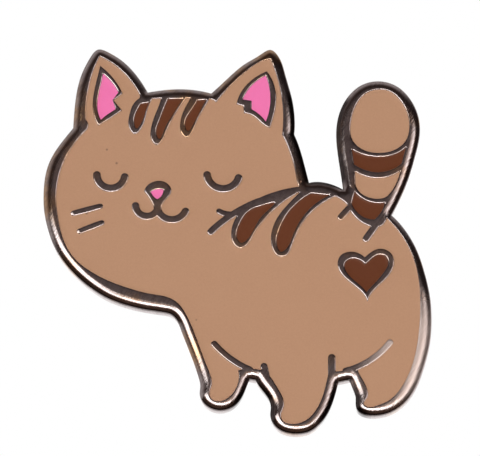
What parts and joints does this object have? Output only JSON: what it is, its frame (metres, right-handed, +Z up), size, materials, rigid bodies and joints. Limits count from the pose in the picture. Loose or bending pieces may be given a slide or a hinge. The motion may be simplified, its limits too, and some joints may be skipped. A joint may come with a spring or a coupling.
{
  "type": "enamel pin",
  "caption": "Die-struck cat-shaped enamel lapel pin with two nail posts and butterfly clutches that slide off the posts.",
  "frame": {"origin": "middle of the plate's back face", "axes": "+Y out of the back face, along the posts; the cat's face looks towards -Y; +Z is up as the pin is worn"},
  "size_m": [0.0368, 0.0098, 0.0385],
  "materials": {
    "black_nickel": "polished black nickel plating with fine polishing marks",
    "tan_enamel": "smooth semi-gloss enamel",
    "brown_enamel": "smooth semi-gloss enamel",
    "pink_enamel": "smooth semi-gloss enamel",
    "post_steel": "drawn wire, nickel plated",
    "solder": "dull tin solder",
    "clutch_nickel": "bright nickel-plated brass sheet"
  },
  "bodies": {
    "pin": {"base_plate": "black_nickel", "enamel_coat": "tan_enamel", "enamel_tail_tip": "tan_enamel", "enamel_tail_band_upper": "brown_enamel", "enamel_tail_band_middle": "tan_enamel", "enamel_tail_band_lower": "brown_enamel", "enamel_head_stripe_left": "brown_enamel", "enamel_head_stripe_middle": "brown_enamel", "enamel_head_stripe_right": "brown_enamel", "enamel_back_stripe_small": "brown_enamel", "enamel_back_stripe_large": "brown_enamel", "enamel_heart": "brown_enamel", "enamel_ear_left": "pink_enamel", "enamel_ear_right": "pink_enamel", "enamel_nose": "pink_enamel", "post_head": "post_steel", "post_body": "post_steel", "solder_head": "solder", "solder_body": "solder"},
    "clutch_head": {"clutch_head_cap": "clutch_nickel"},
    "clutch_head_left": {"clutch_head_wing_left": "clutch_nickel"},
    "clutch_head_right": {"clutch_head_wing_right": "clutch_nickel"},
    "clutch_body": {"clutch_body_cap": "clutch_nickel"},
    "clutch_body_left": {"clutch_body_wing_left": "clutch_nickel"},
    "clutch_body_right": {"clutch_body_wing_right": "clutch_nickel"}
  },
  "joints": [
    {"name": "clutch_head_slide", "type": "slide", "parent": "pin", "child": "clutch_head", "axis": [0, 1, 0], "range_m": [0, 0.012]},
    {"name": "clutch_head_pinch", "type": "hinge", "parent": "clutch_head", "child": "clutch_head_right", "pos_m": [-0.00395, 0.0045, 0.0045], "axis": [0, 0, 1], "range_deg": [0, 8], "stiffness_Nm_per_rad": 0.12},
    {"name": "clutch_head_pinch_left", "type": "hinge", "parent": "clutch_head", "child": "clutch_head_left", "pos_m": [-0.01105, 0.0045, 0.0045], "axis": [0, 0, 1], "range_deg": [-8, 0]},
    {"name": "clutch_body_slide", "type": "slide", "parent": "pin", "child": "clutch_body", "axis": [0, 1, 0], "range_m": [0, 0.012]},
    {"name": "clutch_body_pinch", "type": "hinge", "parent": "clutch_body", "child": "clutch_body_right", "pos_m": [0.01105, 0.0045, -0.0048], "axis": [0, 0, 1], "range_deg": [0, 8], "stiffness_Nm_per_rad": 0.12},
    {"name": "clutch_body_pinch_left", "type": "hinge", "parent": "clutch_body", "child": "clutch_body_left", "pos_m": [0.00395, 0.0045, -0.0048], "axis": [0, 0, 1], "range_deg": [-8, 0]}
  ],
  "couplings": [
    {"joint": "clutch_head_pinch_left", "follows": "clutch_head_pinch", "ratio": -1},
    {"joint": "clutch_body_pinch_left", "follows": "clutch_body_pinch", "ratio": -1}
  ]
}
